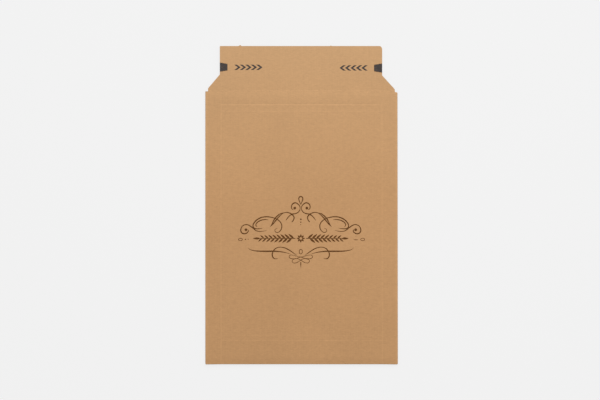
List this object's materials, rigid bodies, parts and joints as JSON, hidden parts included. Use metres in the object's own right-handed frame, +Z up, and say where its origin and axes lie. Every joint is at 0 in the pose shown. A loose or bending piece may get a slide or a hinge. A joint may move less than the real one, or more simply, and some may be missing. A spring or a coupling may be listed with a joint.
{
  "type": "corrugated cardboard envelope",
  "caption": "Flat corrugated cardboard shipping envelope with folded sides, a creased front panel and a closing flap with an adhesive strip and a tear tape.",
  "frame": {"origin": "centre of the open envelope's outline, on the plane it lies on", "axes": "+X across the envelope, +Y from the bottom fold towards the closing flap, +Z up through the front panel"},
  "size_m": [0.235, 0.3894, 0.0054],
  "materials": {
    "kraft_board": "uncoated brown kraft corrugated board",
    "adhesive": "tacky hot-melt band",
    "release_paper": "smooth silicone-coated paper",
    "tear_tape": "thin film tape",
    "seam_glue": "set hot-melt glue"
  },
  "bodies": {
    "envelope": {"envelope_body": "kraft_board", "left_seam_glue": "seam_glue", "right_seam_glue": "seam_glue"},
    "flap": {"closing_flap": "kraft_board", "adhesive_strip": "adhesive", "release_liner": "release_paper", "tear_tape": "tear_tape"}
  },
  "joints": [
    {"name": "flap_fold", "type": "hinge", "parent": "envelope", "child": "flap", "pos_m": [0, 0.13975, 0.00143], "axis": [-1, 0, 0], "range_deg": [0, 179.5]}
  ]
}
